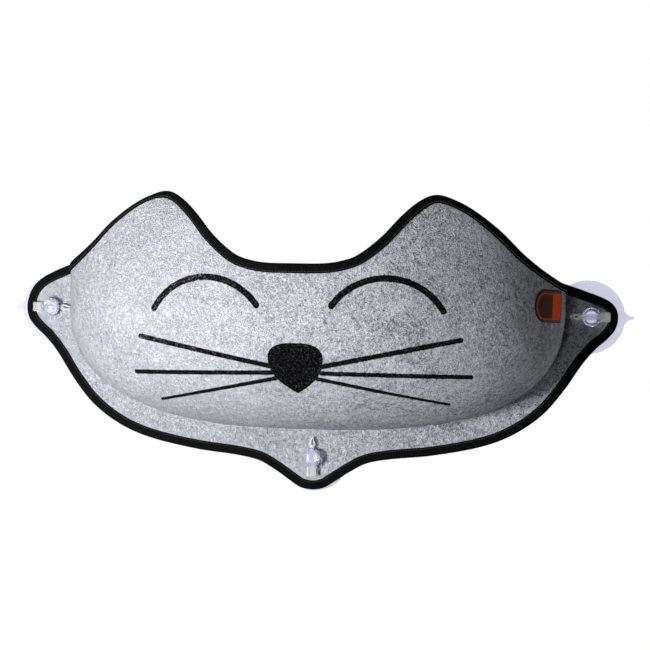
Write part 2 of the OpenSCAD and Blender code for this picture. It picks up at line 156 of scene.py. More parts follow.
class PerchForm(bpy.types.PropertyGroup):
    """Sizes of the felts."""

    bottom_lobe_r: length("Bottom lobe", "Radius of the felt round the bottom cup", 0.035)
    side_lobe_r: length("Side lobe", "Radius of the felt round each side cup", 0.0285)
    hole_r: length("Hole", "Radius of the holes for the cups' necks", 0.0073)
    half_w: length("Half width", "Half of the pouch's width", 0.268)
    depth: length("Depth", "Depth of the pouch in front of the flange", 0.195)
    floor_z: length("Floor", "Height of the pouch's floor", 0.031)
    full_w_z: length("Full width", "Height at which the pouch is widest", 0.172)
    full_d_z: length("Full depth", "Height at which the pouch is deepest", 0.187)
    join_z: length("Join", "Height at which the pouch's edge meets the panel", 0.197)
    mouth_z: length("Mouth", "Height of the middle of the mouth", 0.199)
    panel_top: length("Panel top", "Height of the middle of the back felt's top edge", 0.204)
    skew: length(
        "Skew", "How far the felts' upper edges stand up at the left cup and drop at the right", 0.0095
    )
    skew_out: number("Skew outwards", "Power by which the skew grows outwards", 3)
    skew_up: number("Skew upwards", "Power by which the skew grows upwards", 1.5)
    ear_z: length("Ears", "Height of the ear tips", 0.2685)
    ear_lean: length("Ear lean", "How far the ear tips lean back", 0.015)
    crease_r: length("Crease", "Radius of the crease round the pouch", 0.0026)
    wave: length("Unevenness", "How far the felt strays from its even form", 0.0009)
    outline_power: number("Outline power", "Power of the curve of the pouch's outline", 2.7)
    belly_power: number("Belly power", "Power of the curve of the pouch's belly", 2.2)
    cell: length("Cell", "Size of the felt meshes' faces", 0.0045)


class PerchFelt(bpy.types.PropertyGroup):
    """Finish of the felt and of its print."""

    pale: colour("Pale wool", "Colour of the pale fibres", (0.70, 0.71, 0.775))
    dark: colour("Dark wool", "Colour of the dark fibres", (0.19, 0.19, 0.225))
    ink: colour("Ink", "Colour of the printed face", (0.004, 0.004, 0.0045))


class PerchTape(bpy.types.PropertyGroup):
    """Sizes and finish of the edging tape and its thread."""

    width: length("Width", "Width of the tape on each side of the felts' edge", 0.009)
    rise: length("Rise", "Height of the tape above the felt", 0.0013)
    step: length("Step", "Distance between two rows of the tape's mesh", 0.001)
    stitch_l: length("Stitch", "Length of a stitch", 0.0023)
    stitch_pitch: length("Pitch", "Distance between two stitches", 0.003)
    stitch_in: length("Seam", "Distance of the seam from the tape's inner edge", 0.0016)
    thread_r: length("Thread", "Radius of the thread", 0.00022)
    black: colour("Black", "Colour of the tape", (0.0038, 0.0038, 0.0041))
    thread: colour("Thread", "Colour of the thread", (0.022, 0.022, 0.024))


class PerchLabel(bpy.types.PropertyGroup):
    """Size, place and colours of the woven label."""

    width: length("Width", "Length of the label round the pouch", 0.058)
    height: length("Height", "Height of the label", 0.032)
    thickness: length("Thickness", "Thickness of the label", 0.0008)
    middle_z: length("Middle", "Height of the label's middle", 0.167)
    gap: length("Gap", "Gap between the label and the felt", 0.0003)
    angle: rotation("Angle", "Angle round the pouch of the label's middle", 66)
    orange: colour("Orange", "Colour of the label's field", (0.78, 0.085, 0.012))
    border: colour("Border", "Colour of the label's border", (0.012, 0.010, 0.011))


class PerchCup(bpy.types.PropertyGroup):
    """Sizes and finish of the suction cups."""

    rim_r: length("Rim", "Radius of a cup's rim", 0.040)
    seal_w: length("Seal", "Width of the ring that seals on the glass", 0.004)
    rim_t: length("Rim thickness", "Thickness of a cup's rim", 0.0012)
    hollow_h: length("Hollow", "Depth of the hollow under a cup", 0.0036)
    hub_r: length("Hub", "Radius of the hub", 0.013)
    hub_h: length("Hub height", "Height of the hub above the glass", 0.0147)
    neck_r: length("Neck", "Radius of the neck", 0.007)
    knob_r: length("Knob", "Radius of the knob", 0.0100)
    knob_t: length("Knob thickness", "Thickness of the knob", 0.0058)
    dish: length("Dish", "Depth of the dish in the knob's face", 0.0010)
    slot_w: length("Slot width", "Width of the slot through the neck", 0.0076)
    slot_t: length("Slot height", "Height of the slot through the neck", 0.0034)
    tab_l: length("Tab", "Length of the pull tab beyond the rim", 0.0095)
    tab_w: length("Tab width", "Width of the pull tab at its root", 0.016)
    tab_t: length("Tab thickness", "Thickness of the pull tab", 0.0014)
    tab_lift: length("Tab lift", "Height of the pull tab above the glass", 0.0006)
    turns: IntProperty(name="Sides", description="Sides of the cup's round mesh", default=96)
    tint: colour("Tint", "Colour of the soft plastic", (0.765, 0.77, 0.915))


class PerchPin(bpy.types.PropertyGroup):
    """Sizes and finish of the locking pins."""

    grip_start: length("Grip start", "Distance from the cup's axis to the grip", 0.010)
    grip_l: length("Grip length", "Length of the grip", 0.0103)
    grip_w: length("Grip width", "Width of the grip", 0.0104)
    grip_t: length("Grip thickness", "Thickness of the grip", 0.0056)
    shank_w: length("Shank width", "Width of the shank", 0.0043)
    shank_t: length("Shank thickness", "Thickness of the shank", 0.0028)
    barb_start: length("Barb start", "Distance from the cup's axis to the barb", 0.012)
    barb_l: length("Barb length", "Length of the barb", 0.0095)
    barb_w: length("Barb width", "Width of the barb", 0.007)
    edge_r: length("Edge", "Radius of the rounded edges", 0.0003)
    tint: colour("Tint", "Colour of the hard plastic", (0.93, 0.93, 0.92))


class PerchStage(bpy.types.PropertyGroup):
    """The camera, the lamps and the floor."""

    distance: length("Distance", "Distance from the camera to its target", 1.25)
    target: FloatVectorProperty(
        name="Target", description="Point that the camera looks at",
        default=(0.0088, 0, 0.144), unit="LENGTH", size=3,
    )
    azimuth: rotation("Azimuth", "Angle of the camera round the perch", 5.5)
    roll: rotation("Roll", "Roll of the camera", 1.15)
    lens: number("Lens", "Focal length in millimetres", 62.31)
    floor_z: length("Floor", "Height of the floor", -2.5)
    key: number("Key", "Power of the key lamp in watts", 41)
    key_distance: length("Key distance", "Distance from the key lamp to the target", 0.88)
    back: number("Back", "Power of the lamp behind the glass in watts", 95)
    top: number("Top", "Power of the lamp above the pouch in watts", 60)
    side: number("Side", "Power of the lamp at the right in watts", 36)
    fill: number("Fill", "Power of the lamp beside the camera in watts", 17)
    ambient: number("Ambient", "Strength of the light all round", 0.035)


GROUPS = {
    "perch_form": PerchForm, "perch_felt": PerchFelt, "perch_tape": PerchTape,
    "perch_label": PerchLabel, "perch_cup": PerchCup, "perch_pin": PerchPin,
    "perch_stage": PerchStage,
}


def settings(name):
    """The scene's own values of one property group."""
    return getattr(bpy.context.scene, name)


# Curves

def along(a, b, c, d, t):
    """A point of a smooth curve between b and c."""
    return (2 * b + (c - a) * t + (2 * a - 5 * b + 4 * c - d) * t**2
            + (3 * b - a - 3 * c + d) * t**3) / 2


def smooth(points, steps):
    """A smooth curve through the points, with that many steps between neighbours."""
    p = np.asarray(points, float)
    last = len(p) - 1
    curve = [
        along(p[max(i - 1, 0)], p[i], p[i + 1], p[min(i + 2, last)], s / steps)
        for i in range(last)
        for s in range(steps)
    ]
    return np.array(curve + [p[last]])


def both_sides(half):
    """Half an outline and its mirror image, as one run from left to right."""
    return [(-x, y) for x, y in reversed(half[1:])] + list(half)


def arc(centre, radius, start, end, steps):
    """Points of an arc, with its angles in degrees."""
    turns = [math.radians(start + (end - start) * i / steps) for i in range(steps + 1)]
    return [(centre[0] + radius * math.cos(a), centre[1] + radius * math.sin(a)) for a in turns]


def run_along(points):
    """How far along a run of points each of them is."""
    return np.concatenate([[0], np.cumsum(np.linalg.norm(np.diff(points, axis=0), axis=1))])


def resampled(points, step, closed=False):
    """The same run of points, evenly spaced, and the distance along it of each."""
    p = np.asarray(points, float)
    if closed:
        p = np.vstack([p, p[:1]])
    run = run_along(p)
    at = np.linspace(0, run[-1], max(3, round(run[-1] / step)) + 1)
    even = np.stack([np.interp(at, run, p[:, k]) for k in range(p.shape[1])], 1)
    return (even[:-1], at[:-1]) if closed else (even, at)


def unit(v):
    """Rows of unit vectors."""
    return v / np.maximum(np.linalg.norm(v, axis=-1, keepdims=True), 1e-12)


def tangents(points, closed=False):
    """Unit tangents along a run of points."""
    if closed:
        return unit(np.roll(points, -1, 0) - np.roll(points, 1, 0))
    return unit(np.gradient(points, axis=0))


def eased(x, start, end):
    """0 before start, 1 after end, and a soft step between them."""
    t = np.clip((x - start) / (end - start), 0, 1)
    return t * t * (3 - 2 * t)


# The felts' form

def upright(flat, depth):
    """Points of the plane stood up at a depth in front of the glass."""
    return np.stack([flat[:, 0], 0 * flat[:, 0] - depth, flat[:, 1]], 1)


def skewed(x, z):
    """Heights with the skew of the felts' upper edges, which starts above the side cups' axes."""
    f = settings("perch_form")
    outwards = np.sign(x) * np.abs(x / SIDE_CUP_X) ** f.skew_out
    upwards = np.clip((z - CUP_RISE) / (f.join_z - CUP_RISE), 0, 1) ** f.skew_up
    return z - f.skew * outwards * upwards


def felt_outline():
    """Outline of both felts as X and Z, from the left end of the top edge round to its right end."""
    f = settings("perch_form")
    half = (
        arc((0, 0), f.bottom_lobe_r, -90, -48, 2)
        + [(s * SIDE_CUP_X, t * CUP_RISE) for s, t in LOWER_EDGE_SHARES]
        + arc((SIDE_CUP_X, CUP_RISE), f.side_lobe_r, -50, 62, 4)
        + [(s * SIDE_CUP_X, CUP_RISE + t * (f.panel_top - CUP_RISE)) for s, t in UPPER_EDGE_SHARES]
    )
    x, z = smooth(both_sides(half), 12).T
    return np.stack([x, skewed(x, z)], 1)


def rounded(s, power):
    """Height of a rounded corner at the share s of its width."""
    return np.maximum(0, 1 - np.minimum(s, 1) ** power) ** (1 / power)


def half_width(z):
    """Half of the pouch's width at a height."""
    f = settings("perch_form")
    below = np.maximum(0, (f.full_w_z - z) / (f.full_w_z - f.floor_z))
    return f.half_w * rounded(below, f.outline_power)


def pouch_depth(z):
    """Depth of the pouch at a height, in front of the flange."""
    f = settings("perch_form")
    below = np.maximum(0, (f.full_d_z - z) / (f.full_d_z - f.floor_z))
    above = np.maximum(0, (z - f.full_d_z) / (f.ear_z - f.full_d_z))
    return f.depth * rounded(below, f.belly_power) - f.ear_lean * above**2


def on_pouch(angle, z):
    """Points of the pouch's outside: angle round it from the middle, and height."""
    d = pouch_depth(z) * np.cos(angle)
    return np.stack([half_width(z) * np.sin(angle), -SHELL_FRONT - d, z + 0 * angle], -1)


def pouch_normal(angle, z):
    """Unit normals of the pouch's outside."""
    turn, rise = 0.01, 0.00005
    across = on_pouch(angle + turn, z) - on_pouch(angle - turn, z)
    up = on_pouch(angle, z + rise) - on_pouch(angle, z - rise)
    return unit(np.cross(across, up))


def low_pouch(theta, phi):
    """Points of the pouch's outside below its full width, found along rays from its middle.

    theta runs round the crease from the right, and phi from the crease to the front."""
    f = settings("perch_form")
    top = pouch_depth(np.array(f.full_w_z))
    ray = np.stack([
        f.half_w * np.cos(phi) * np.cos(theta),
        top * np.sin(phi) + 0 * theta,
        (f.full_w_z - f.floor_z) * np.cos(phi) * np.sin(theta),
    ], -1)
    shortest, longest, halvings, tiny = 0.2, 2.0, 45, 1e-9
    near, far = np.full(ray.shape[:-1], shortest), np.full(ray.shape[:-1], longest)
    for _ in range(halvings):
        k = (near + far) / 2
        x, d, z = ray[..., 0] * k, ray[..., 1] * k, f.full_w_z - ray[..., 2] * k
        w, deep = np.maximum(half_width(z), tiny), np.maximum(pouch_depth(z), tiny)
        outside = (x / w) ** 2 + (d / deep) ** 2 > 1
        near, far = np.where(outside, near, k), np.where(outside, k, far)
    k = ((near + far) / 2)[..., None]
    return np.stack([ray[..., 0], -ray[..., 1], -ray[..., 2]], -1) * k + np.array(
        [0, -SHELL_FRONT, f.full_w_z]
    )


def rim_curve(steps):
    """Edge of the pouch from the left join to the right join, as angle and height."""
    f = settings("perch_form")
    quarter = math.pi / 2
    half = [(s * quarter, f.mouth_z + t * (f.ear_z - f.mouth_z)) for s, t in RIM_SHARES]
    angle, z = smooth(both_sides(half + [(quarter, f.join_z)]), steps).T
    return np.stack([angle, skewed(half_width(z) * np.sin(angle), z)], 1)


# Meshes

def grid(points):
    """Vertices and faces of a grid of points."""
    rows, cols = points.shape[:2]
    a = (np.arange(rows - 1)[:, None] * cols + np.arange(cols - 1)).ravel()
    return points.reshape(-1, 3), [tuple(q) for q in np.stack([a, a + 1, a + cols + 1, a + cols], 1)]


def welded(patches):
    """Patches of vertices and faces as one, with the vertices that meet made one."""
    points, faces, base = [], [], 0
    for p, f in patches:
        points.append(p)
        faces += [tuple(i + base for i in q) for q in f]
        base += len(p)
    points = np.vstack(points)
    _, first, place = np.unique(np.round(points, 6), axis=0, return_index=True, return_inverse=True)
    place = place.ravel()
    kept = []
    for q in faces:
        corners = list(dict.fromkeys(int(place[i]) for i in q))
        if len(corners) > 2:
            kept.append(corners)
    return points[first], kept


def inside(points, polygon):
    """Whether each point lies inside a polygon, both in the plane."""
    x, y = points[:, 0, None], points[:, 1, None]
    (ax, ay), (bx, by) = polygon.T, np.roll(polygon, -1, 0).T
    rise = np.where(by == ay, 1e-12, by - ay)
    at = ax + (y - ay) / rise * (bx - ax)
    return (((ay > y) != (by > y)) & (x < at)).sum(1) % 2 == 1


def distances(points, others):
    """Distance from each point to the nearest of the others."""
    tree = kdtree.KDTree(len(others))
    for i, p in enumerate(others):
        tree.insert(Vector(p).to_3d(), i)
    tree.balance()
    return np.array([tree.find(Vector(p).to_3d())[2] for p in points])


def triangulated(points, edges, loops, weld):
    """Triangles on flat points that follow the edges, inside the first loop and outside the others.

    Points nearer to each other than weld become one."""
    coords = [Vector(p) for p in points]
    points, _, faces, *_ = geometry.delaunay_2d_cdt(coords, edges, [], 0, weld, False)
    points = np.array([tuple(p) for p in points])
    middles = np.array([points[list(q)].mean(0) for q in faces])
    keep = inside(middles, loops[0])
    for hole in loops[1:]:
        keep &= ~inside(middles, hole)
    return points, [q for q, k in zip(faces, keep) if k]


def filled(outer, holes, cell, extra=()):
    """Triangles that fill a flat outline with holes, as points of the plane and faces.

    extra holds open runs of points that the triangles' edges follow."""
    loops = [np.asarray(p, float) for p in [outer, *holes]]
    lines, edges, base = [*loops, *extra], [], 0
    for n, line in enumerate(lines):
        last = len(line) if n < len(loops) else len(line) - 1
        edges += [(base + i, base + (i + 1) % len(line)) for i in range(last)]
        base += len(line)
    fixed = np.vstack(lines)
    low, high = loops[0].min(0), loops[0].max(0)
    rows = int((high[1] - low[1]) / (cell * ROW_SHARE)) + 1
    cols = int((high[0] - low[0]) / cell) + 2
    free = np.array([
        (low[0] + (c + 0.5 * (r % 2)) * cell, low[1] + r * cell * ROW_SHARE)
        for r in range(rows) for c in range(cols)
    ])
    free = free[inside(free, loops[0])]
    clear_of_edges = 0.55 * cell
    free = free[distances(free, fixed) > clear_of_edges]
    return triangulated(np.vstack([fixed, free]), edges, loops, 1e-7)


def used(points, faces):
    """The points that the faces use, and the faces renumbered."""
    ids = sorted({i for q in faces for i in q})
    new = {i: n for n, i in enumerate(ids)}
    return points[ids], [tuple(new[i] for i in q) for q in faces]


def made(name, points, faces, body, materials, nodes=(), uv=None):
    """A smooth shaded piece that rides on a body and stands for CAD nodes.

    uv gives each vertex's place on a flat map, as two lengths."""
    mesh = bpy.data.meshes.new(name)
    mesh.from_pydata([tuple(p) for p in points], [], [tuple(q) for q in faces])
    mesh.validate()
    mesh.polygons.foreach_set("use_smooth", [True] * len(mesh.polygons))
    for m in materials:
        mesh.materials.append(m)
    if uv is not None:
        layer = mesh.uv_layers.new(name=WEAVE_MAP)
        corners = np.zeros(len(mesh.loops), int)
        mesh.loops.foreach_get("vertex_index", corners)
        layer.uv.foreach_set("vector", np.asarray(uv, np.float32)[corners].ravel())
    mesh.update()
    piece = bpy.data.objects.new(name, mesh)
    bpy.context.scene.collection.objects.link(piece)
    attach(piece, body)
    if nodes:
        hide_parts(*nodes)
    return piece


def thickened(piece, thickness, inner=0):
    """Gives a piece its thickness, behind its faces. inner is the material of its back."""
    thick = piece.modifiers.new("Thickness", "SOLIDIFY")
    thick.thickness = thickness
    thick.offset = -1
    thick.use_even_offset = True
    thick.material_offset = inner
    return piece


# Shaders

class Socket:
    """An output socket. Python's operators on it add Math nodes."""

    def __init__(self, tree, socket):
        self.tree = tree
        self.socket = socket

    def math(self, operation, *values, clamp=False):
        """A Math node of the values, in this socket's tree."""
        options = {"operation": operation, "use_clamp": clamp}
        return add_node(self.tree, "ShaderNodeMath", options, dict(enumerate(values)))

    def __add__(self, other):
        return self.math("ADD", self, other)

    def __sub__(self, other):
        return self.math("SUBTRACT", self, other)

    def __rsub__(self, other):
        return self.math("SUBTRACT", other, self)

    def __mul__(self, other):
        return self.math("MULTIPLY", self, other)

    def __truediv__(self, other):
        return self.math("DIVIDE", self, other)

    def __rtruediv__(self, other):
        return self.math("DIVIDE", other, self)

    def __pow__(self, other):
        return self.math("POWER", self, other)

    def __rpow__(self, other):
        return self.math("POWER", other, self)

    def __abs__(self):
        return self.math("ABSOLUTE", self)

    __radd__ = __add__
    __rmul__ = __mul__


def add_node(tree, kind, options, inputs, output=0):
    """A new node with its options and the values or links of its sockets, as its output socket."""
    node = tree.nodes.new(kind)
    for key, value in options.items():
        setattr(node, key, value)
    for key, value in inputs.items():
        if isinstance(value, Socket):
            tree.links.new(value.socket, node.inputs[key])
        else:
            node.inputs[key].default_value = value
    return Socket(tree, node.outputs[output])


def least(first, *others):
    """The smallest of some values."""
    for other in others:
        first = first.math("MINIMUM", first, other)
    return first


def most(first, *others):
    """The largest of some values."""
    for other in others:
        first = first.math("MAXIMUM", first, other)
    return first


def limited(value):
    """The value kept between 0 and 1."""
    return value.math("ADD", value, 0.0, clamp=True)


def sine(value):
    """The sine of a value."""
    return value.math("SINE", value)


def distance(x, y):
    """Length of a flat vector."""
    squares = x * x + y * y
    return squares.math("SQRT", squares)


def ramped(value, start, end, low=0.0, high=1.0):
    """A soft step from low to high between two values."""
    return add_node(value.tree, "ShaderNodeMapRange", {"interpolation_type": "SMOOTHSTEP"},
                    {0: value, 1: start, 2: end, 3: low, 4: high})


def mixed(factor, a, b):
    """Colour a where the factor is 0, and b where it is 1."""
    a, b = [(*c, 1) if isinstance(c, (tuple, list)) else c for c in (a, b)]
    return add_node(factor.tree, "ShaderNodeMix", {"data_type": "RGBA"}, {0: factor, 6: a, 7: b}, 2)


def shaded(factor, tint, dark, light):
    """A tint times dark where the factor is 0, and times light where it is 1."""
    return mixed(factor, *[tuple(min(1.0, c * k) for c in tint) for k in (dark, light)])


def noisy(place, scale, detail=2.0, rough=0.5, bend=0.0, shift=(0, 0, 0)):
    """Noise with that many cells a metre."""
    moved = add_node(place.tree, "ShaderNodeMapping", {}, {0: place, 1: shift})
    return add_node(place.tree, "ShaderNodeTexNoise", {}, {
        "Vector": moved, "Scale": scale, "Detail": detail, "Roughness": rough, "Distortion": bend,
    })


def new_material(name):
    """An empty material and its tree."""
    material = bpy.data.materials.new(name)
    material.use_nodes = True
    material.node_tree.nodes.clear()
    return material, material.node_tree


def shown(shader, kind="ShaderNodeOutputMaterial"):
    """Links a shader to the output of its tree."""
    out = shader.tree.nodes.new(kind)
    shader.tree.links.new(shader.socket, out.inputs[0])


def surfaced(tree, inputs, height, bump, depth):
    """Links a Principled shader with those inputs and a bump to the output.

    bump is the bump's strength, and depth is how deep a height of 1 is, in metres."""
    normal = add_node(tree, "ShaderNodeBump", {}, {
        "Strength": bump, "Distance": depth, "Height": height,
    })
    shown(add_node(tree, "ShaderNodeBsdfPrincipled", {}, {**inputs, "Normal": normal}))


def object_place(tree):
    """Coordinates in the object's own space."""
    return add_node(tree, "ShaderNodeTexCoord", {}, {}, "Object")


def weave_place(tree):
    """Coordinates on the piece's flat map, in metres."""
    return add_node(tree, "ShaderNodeUVMap", {"uv_map": WEAVE_MAP}, {})


def coordinates(place):
    """X, Y and Z of a place."""
    first = add_node(place.tree, "ShaderNodeSeparateXYZ", {}, {0: place})
    return [Socket(place.tree, socket) for socket in first.socket.node.outputs]


def fibres(place, scale, width, shift):
    """Thin curling lines, 1 on a line and 0 beside it."""
    n = noisy(place, scale, detail=1.5, rough=0.45, bend=1.2, shift=shift)
    return 1 - ramped(abs(n - 0.5), 0.0, width)


def wool(place):
    """The felt's share of dark wool, with painted shade contrast towards the right, and the height of its
    fibres.
    """
    blotch = noisy(place, 210.0, detail=3.0, rough=0.62, bend=0.6)
    grain = noisy(place, 760.0, rough=0.6, bend=0.4, shift=(0.3, 0.1, 0.2))
    tuft = noisy(place, 95.0, bend=1.5, shift=(0.2, 0.6, 0.4))
    cloud = noisy(place, 24.0, detail=3.0, bend=0.2, shift=(0.7, 0.2, 0.5))
    lines = most(
        fibres(place, 190.0, 0.024, (0.11, 0.53, 0.37)),
        fibres(place, 380.0, 0.036, (0.61, 0.23, 0.91)),
    )
    pale = most(
        fibres(place, 250.0, 0.026, (0.41, 0.83, 0.17)),
        fibres(place, 430.0, 0.034, (0.21, 0.33, 0.67)),
    )
    # Painted shade: the mottling is given more contrast towards the right, where the felt lies in shade
    shade_contrast_from_x, shade_contrast_to_x = -0.12, 0.16
    shade_side_contrast = ramped(coordinates(place)[0], shade_contrast_from_x, shade_contrast_to_x, 0.85, 2.5)
    share = (
        (blotch - 0.5) * 0.9 + (grain - 0.5) * 1.25 + (tuft - 0.5) * 0.6 + (cloud - 0.5) * 0.45
        + lines * 0.36 - pale * 0.30
    )
    height = grain * 0.8 + pale * 0.45 + lines * 0.35 + blotch * 0.9 + tuft * 0.9
    return limited(share * shade_side_contrast + 0.25), height


def felt_material(name, printed):
    """Heather grey needled felt, with the printed face where it has one."""
    f = settings("perch_felt")
    material, tree = new_material(name)
    place = object_place(tree)
    dark, height = wool(place)
    base = mixed(dark, tuple(f.pale), tuple(f.dark))
    rough = 0.92
    if printed:
        ink = printed_face(place, dark)
        base = mixed(ink, base, tuple(f.ink))
        rough = ramped(ink, 0.0, 1.0, 0.95, 0.80)
    inputs = {"Base Color": base, "Roughness": rough, "Specular IOR Level": 0.0}
    surfaced(tree, inputs, height, bump=0.9, depth=0.0019)
    return material


def stroke(x, z, start, end, start_r, end_r):
    """Distance from a straight stroke with round ends that widens from start to end."""
    run = (end[0] - start[0], end[1] - start[1])
    share = ((x - start[0]) * run[0] + (z - start[1]) * run[1]) / (run[0] ** 2 + run[1] ** 2)
    share = limited(share)
    off = distance(x - start[0] - share * run[0], z - start[1] - share * run[1])
    return off - start_r - share * (end_r - start_r)


def printed_face(place, dark):
    """Where the ink lies: closed eyes, whiskers and a nose, by distance in X and Z."""
    right, _, up = coordinates(place)
    # The print is turned a little about the middle of the face
    turn, middle_z = 0.007, 0.130
    x, z = abs(right + (up - middle_z) * turn), up - right * turn
    # Eyes: an arc about its centre, with round ends
    eye_x, eye_z, eye_r, eye_half_w = 0.0853, 0.1258, 0.0617, 0.0032
    lean, half_span = math.radians(2), math.radians(56.6)
    over, beside = math.cos(half_span), math.sin(half_span)
    from_x, from_z = x - eye_x, z - eye_z
    u = abs(from_x * math.cos(lean) - from_z * math.sin(lean))
    v = from_x * math.sin(lean) + from_z * math.cos(lean)
    height = v * beside
    on_arc = height.math("GREATER_THAN", height, u * over)
    ring = abs(distance(u, v) - eye_r)
    ends = distance(u - eye_r * beside, v - eye_r * over)
    eye = on_arc * ring + (1 - on_arc) * ends - eye_half_w
    # Nose: rounded above its widest place, drawn in to a point below it
    wide_z, wide, above, under = 0.1115, 0.026, 0.0152, 0.0337
    round_power, point_power = 2.6, 2.3
    rise = limited((z - wide_z) / above)
    drop = limited((wide_z - z) / under)
    upper = (1 - rise ** round_power) ** (1 / round_power)
    lower = 1 - drop ** point_power
    nose = most(x - least(upper, lower) * wide, z - wide_z - above, wide_z - under - z)
    # The ink reaches a little further along the dark fibres
    fray, blur = 0.0006, 0.0003
    edge = least(eye, *[stroke(x, z, *w) for w in WHISKERS], nose) + (0.35 - dark) * fray
    cover = 1 - ramped(edge, -blur, blur)
    # Grey fibres show through it a little everywhere; painted light adds more grey at the upper left, where
    # the lamp falls on the left eye
    fleck = ramped(noisy(place, 520.0, rough=0.7, bend=0.8, shift=(0.9, 0.4, 0.1)), 0.50, 0.72)
    painted_light_area = ramped(right, -0.03, -0.10) * ramped(z, 0.105, 0.125)
    return cover * (1 - fleck * (painted_light_area * 0.26 + 0.10))


def tape_material():
    """Black woven tape: ribs across it and fine threads along it."""
    material, tree = new_material("black_tape")
    place = weave_place(tree)
    run, across, _ = coordinates(place)
    rib_pitch, thread_pitch = 0.00105, 0.0008
    waver = (noisy(place, 300.0) - 0.5) * 1.4
    rib = sine(run * (2 * math.pi / rib_pitch) + waver)
    thread = sine(across * (2 * math.pi / thread_pitch))
    weave = rib * 0.5 + (rib * thread) * 0.35 + 0.5
    lint = noisy(place, 900.0, detail=3.0, rough=0.6)
    light = ramped(weave + (lint - 0.5) * 1.4, 0.3, 1.5)
    base = shaded(light, settings("perch_tape").black, 0.4, 6.5)
    inputs = {"Base Color": base, "Roughness": 0.9, "Specular IOR Level": 0.0}
    surfaced(tree, inputs, weave + lint * 0.4, bump=0.8, depth=0.0004)
    return material


def thread_material(name, tint):
    """Twisted sewing thread."""
    material, tree = new_material(name)
    twist = noisy(object_place(tree), 2600.0, rough=0.6)
    inputs = {"Base Color": shaded(twist, tint, 0.6, 1.6), "Roughness": 0.55}
    surfaced(tree, inputs, twist, bump=0.5, depth=0.0002)
    return material


def label_material():
    """Woven satin label: an orange field with a plain dark ground at its round end, in a dark border that is
    the label's merrowed edge and also painted shade round its edge.
    """
    s = settings("perch_label")
    material, tree = new_material("woven_label")
    place = weave_place(tree)
    x, y, _ = coordinates(place)
    warp_pitch, weft_pitch = 0.00042, 0.00034
    warp = sine(x * (2 * math.pi / warp_pitch))
    weft = sine(y * (2 * math.pi / weft_pitch))
    weave = warp * weft * 0.5 + 0.5
    lint = noisy(place, 1500.0)
    edge_w, line_w, ground_x, blur, ground_blur = 0.0024, 0.0016, 0.003, 0.00025, 0.0002
    round_r = s.height / 2
    left = distance(least(x + (s.width / 2 - round_r), 0.0), y) - (round_r - edge_w)
    edge = most(abs(x) - (s.width / 2 - edge_w), abs(y) - (s.height / 2 - edge_w), left)
    # The dark border is the merrowed edge and also painted shade round the label's edge
    border = ramped(edge, -blur, blur)
    inner = 1 - ramped(edge, -line_w - blur, blur - line_w)
    ground = 1 - ramped(x, ground_x - ground_blur, ground_x + ground_blur)
    orange = shaded(weave * 0.5 + lint * 0.5, s.orange, 0.7, 1.25)
    field = mixed(inner * ground * 0.94, orange, tuple(s.border))
    base = mixed(border, field, tuple(s.border))
    inputs = {"Base Color": base, "Roughness": 0.6, "Specular IOR Level": 0.02}
    surfaced(tree, inputs, weave + border * 0.6, bump=0.6, depth=0.0002)
    return material


def clear_material(name, tint, rough, clarity):
    """Clear moulded plastic with a faint cloud in it. clarity is how much goes straight through."""
    material, tree = new_material(name)
    place = object_place(tree)
    haze = noisy(place, 120.0, detail=3.0, rough=0.6)
    scuff = noisy(place, 700.0, detail=3.0, rough=0.7, bend=0.5)
    inputs = {
        "Base Color": shaded(haze, tint, 0.97, 1.03),
        "Roughness": ramped(scuff, 0.35, 0.75, rough * 0.7, rough * 1.4),
        "Transmission Weight": clarity, "IOR": 1.42, "Specular IOR Level": 0.5,
    }
    surfaced(tree, inputs, haze + scuff * 0.2, bump=0.12, depth=0.0004)
    return material


# Felt pieces

def uneven(points, edges):
    """How far each point of the felt is moved outwards: not at all near its taped edges."""
    f = settings("perch_form")
    still, full = 0.012, 0.045
    wide_scale, narrow_scale, narrow_share = 11.0, 34.0, 0.35
    free = eased(distances(points, edges), still, full)
    wide = np.array([noise.noise(Vector(p) * wide_scale) for p in points])
    narrow = np.array([noise.noise(Vector(p) * narrow_scale + Vector((3, 1, 2))) for p in points])
    return f.wave * free * (wide + narrow_share * narrow)


def surface_normals(points, faces):
    """Unit normals of the vertices."""
    total = np.zeros_like(points)
    for q in faces:
        a, b, c = points[q[0]], points[q[1]], points[q[2]]
        n = np.cross(b - a, c - a)
        for i in q:
            total[i] += n
    return unit(total)


